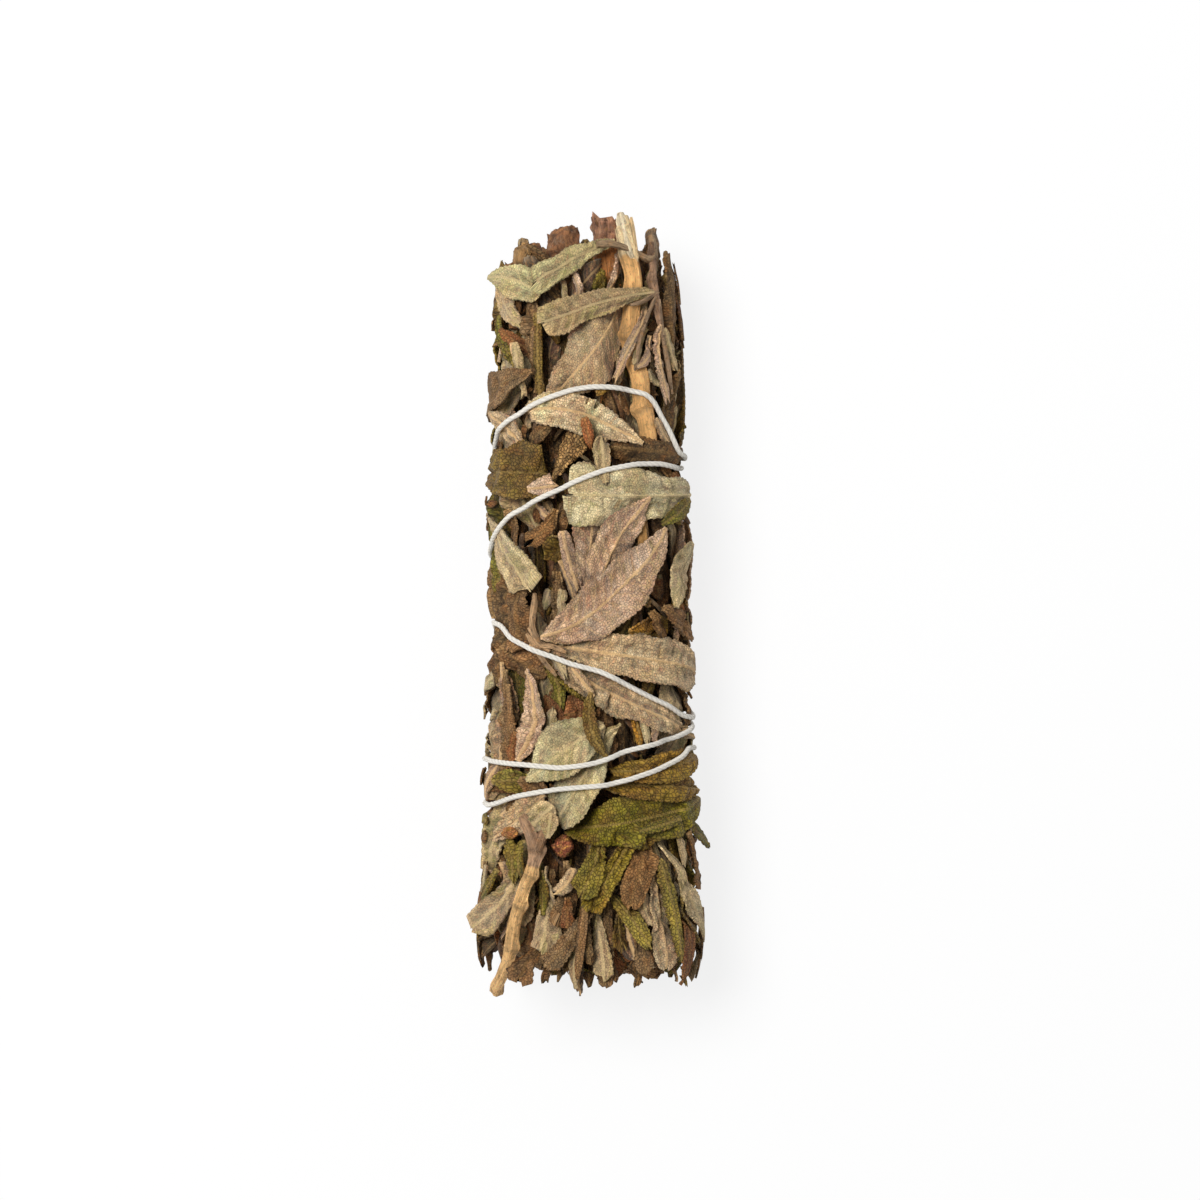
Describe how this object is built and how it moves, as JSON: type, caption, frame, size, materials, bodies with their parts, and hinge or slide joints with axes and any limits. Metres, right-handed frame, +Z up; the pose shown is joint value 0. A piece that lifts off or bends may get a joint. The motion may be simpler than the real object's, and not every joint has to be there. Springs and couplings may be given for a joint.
{
  "type": "black sage smudge stick",
  "caption": "Dried black sage leaves and cut stems rolled side by side into a short thick stick and wound with thin white cotton string.",
  "frame": {"origin": "on the surface that the roll lies on, under the middle of its bounding box", "axes": "+Z up; the roll lies along Y with its cut stem ends towards +Y and its leafy end towards -Y; +X across it"},
  "size_m": [0.03, 0.1088, 0.0288],
  "materials": {
    "leaf_grey": "dry matt sage leaf, grey-green, fine pebbled surface with pale veins",
    "leaf_tan": "dry matt sage leaf underside, tan to pinkish grey, pale orange midrib",
    "leaf_green": "dry sage leaf, olive to golden green, strongly pebbled, faint waxy shine",
    "leaf_brown": "dry crushed sage leaf, dark brown to brown-olive, matt",
    "stem_bark": "dry woody stem with thin ridged bark, grey-brown to orange-brown, matt",
    "stem_wood": "pale split woody stem with its bark off, matt",
    "string": "thin twisted natural-white cotton string, matt"
  },
  "bodies": {
    "root": {"stem_heart": "stem_bark", "stem_tan_stub": "stem_bark", "stem_round_stub": "stem_bark", "stem_wide_stub": "stem_bark", "stem_split_stub": "stem_bark", "stem_grey_stub": "stem_bark", "stem_low_left": "stem_bark", "stem_low_mid": "stem_bark", "stem_low_right": "stem_bark", "leaf_core": "leaf_brown", "leaf_under_01": "leaf_grey", "leaf_under_02": "leaf_tan", "leaf_under_03": "leaf_grey", "leaf_under_04": "leaf_green", "leaf_under_05": "leaf_tan", "leaf_under_06": "leaf_grey", "leaf_under_07": "leaf_brown", "leaf_under_08": "leaf_green", "leaf_under_09": "leaf_grey", "leaf_under_10": "leaf_tan", "leaf_end_01": "leaf_grey", "leaf_end_02": "leaf_grey", "leaf_end_03": "leaf_grey", "leaf_end_04": "leaf_tan", "leaf_end_05": "leaf_green", "leaf_end_06": "leaf_green", "leaf_end_07": "leaf_green", "leaf_end_08": "leaf_grey", "leaf_lower_01": "leaf_tan", "leaf_lower_02": "leaf_tan", "leaf_lower_03": "leaf_tan", "leaf_lower_04": "leaf_green", "leaf_lower_05": "leaf_green", "leaf_lower_06": "leaf_green", "leaf_lower_07": "leaf_grey", "leaf_lower_08": "leaf_grey", "leaf_upper_01": "leaf_brown", "leaf_upper_02": "leaf_grey", "leaf_upper_03": "leaf_green", "leaf_upper_04": "leaf_tan", "leaf_upper_05": "leaf_green", "leaf_upper_06": "leaf_tan", "leaf_upper_07": "leaf_grey", "leaf_upper_08": "leaf_brown", "leaf_upper_09": "leaf_brown", "leaf_middle_01": "leaf_brown", "leaf_middle_02": "leaf_tan", "leaf_middle_03": "leaf_grey", "leaf_middle_04": "leaf_brown", "leaf_middle_05": "leaf_grey", "leaf_middle_06": "leaf_tan", "leaf_middle_07": "leaf_tan", "leaf_middle_08": "leaf_tan", "leaf_middle_09": "leaf_grey", "stem_pale_split": "stem_wood", "twig_sprig": "stem_bark", "stem_long_foot": "stem_bark", "cotton_string": "string", "string_knot_start": "string", "string_knot_end": "string"}
  },
  "joints": []
}
